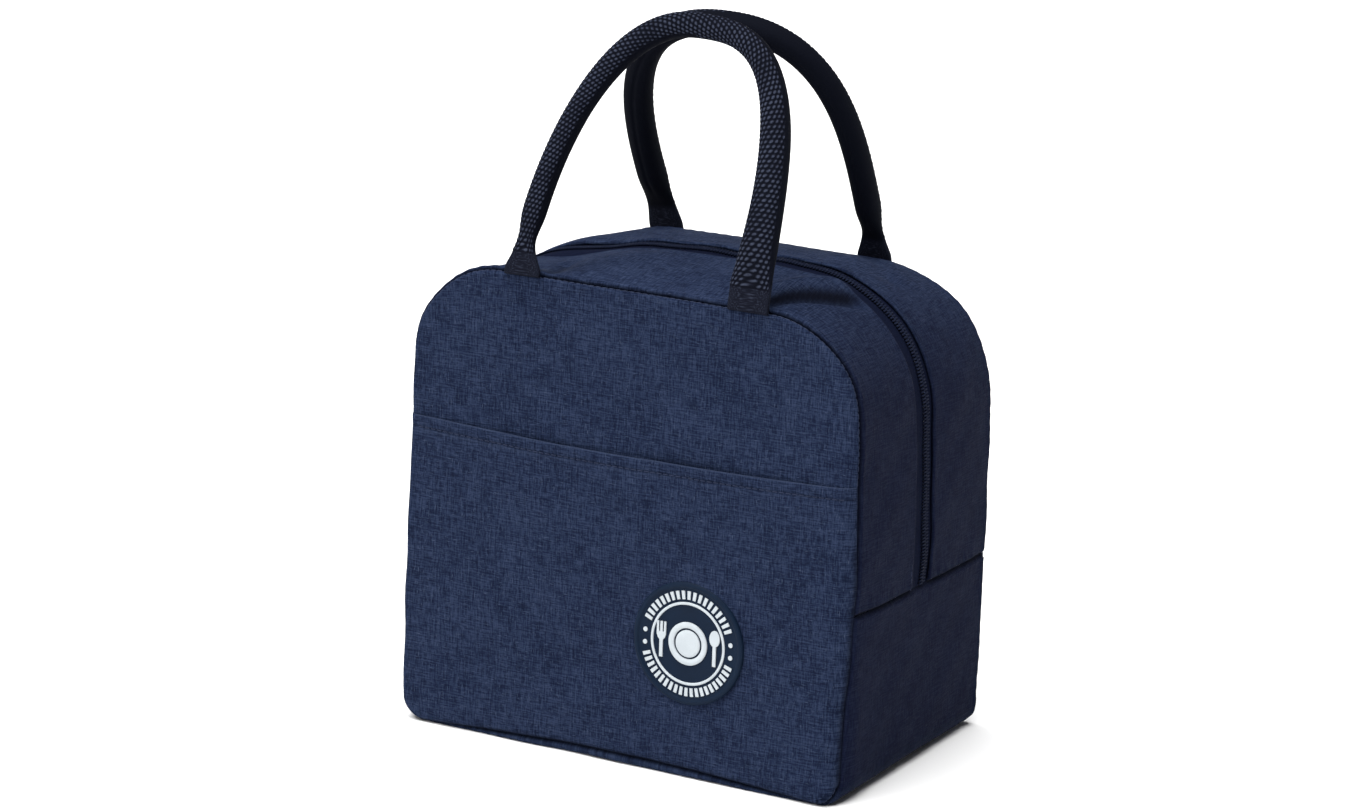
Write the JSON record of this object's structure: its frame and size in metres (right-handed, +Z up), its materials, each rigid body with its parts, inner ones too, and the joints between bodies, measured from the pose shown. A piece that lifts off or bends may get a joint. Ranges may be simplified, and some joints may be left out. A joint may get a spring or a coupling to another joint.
{
  "type": "lunch bag",
  "caption": "Soft insulated lunch bag with an arched zip opening, a front pocket, a round rubber badge and webbing carry handles.",
  "frame": {"origin": "on the floor under the middle of the bag", "axes": "+X along the width to the bag's right as seen from the front, -Y out of the front with the pocket, +Z up"},
  "size_m": [0.224, 0.1429, 0.3307],
  "materials": {
    "cloth": "matt heathered navy weave",
    "foil_foam": "foam faced with silver foil",
    "zip_tape": "matt woven tape",
    "zip_coil": "satin moulded coil",
    "webbing": "coarse woven webbing",
    "badge_rubber": "matt moulded rubber",
    "badge_print": "matt moulded rubber",
    "zip_metal": "dark satin"
  },
  "bodies": {
    "base": {"base_strip": "cloth", "base_insulation": "foil_foam", "front_panel_lower": "cloth", "front_insulation_lower": "foil_foam", "back_panel_lower": "cloth", "back_insulation_lower": "foil_foam", "pocket_panel_lower": "cloth", "badge_disc": "badge_rubber", "badge_rim": "badge_rubber", "badge_ring": "badge_print", "badge_plate": "badge_print", "badge_fork": "badge_print", "badge_spoon": "badge_print"},
    "front_top": {"front_panel_upper": "cloth", "front_insulation_upper": "foil_foam", "pocket_panel_upper": "cloth", "pocket_hem": "cloth", "front_gusset": "cloth", "front_gusset_insulation": "foil_foam", "front_zip_tape": "zip_tape", "front_zip_coil": "zip_coil", "front_handle_tab_left": "webbing", "front_handle_tab_right": "webbing"},
    "rear_top": {"back_panel_upper": "cloth", "back_insulation_upper": "foil_foam", "rear_gusset": "cloth", "rear_gusset_insulation": "foil_foam", "rear_zip_tape": "zip_tape", "rear_zip_coil": "zip_coil", "rear_handle_tab_left": "webbing", "rear_handle_tab_right": "webbing"},
    "zip_slider": {"zip_slider": "zip_metal"},
    "zip_puller": {"zip_puller": "zip_metal"},
    "front_handle": {"front_handle_webbing": "webbing", "front_handle_core": "webbing"},
    "rear_handle": {"rear_handle_webbing": "webbing", "rear_handle_core": "webbing"}
  },
  "joints": [
    {"name": "front_mouth", "type": "hinge", "parent": "base", "child": "front_top", "pos_m": [0, -0.0706, 0.09], "axis": [1, 0, 0], "range_deg": [0, 25]},
    {"name": "rear_mouth", "type": "hinge", "parent": "base", "child": "rear_top", "pos_m": [0, 0.068, 0.09], "axis": [-1, 0, 0], "range_deg": [0, 25]},
    {"name": "zip_slide", "type": "slide", "parent": "front_top", "child": "zip_slider", "axis": [0, 0, 1], "range_m": [0, 0.06]},
    {"name": "puller_swing", "type": "hinge", "parent": "zip_slider", "child": "zip_puller", "pos_m": [-0.1127, 0, 0.0945], "axis": [0, 1, 0], "range_deg": [0, 170]},
    {"name": "front_handle_swing", "type": "hinge", "parent": "front_top", "child": "front_handle", "pos_m": [0, -0.0704, 0.218], "axis": [1, 0, 0], "range_deg": [-6, 192]},
    {"name": "rear_handle_swing", "type": "hinge", "parent": "rear_top", "child": "rear_handle", "pos_m": [0, 0.0704, 0.2115], "axis": [-1, 0, 0], "range_deg": [-6, 192]}
  ]
}
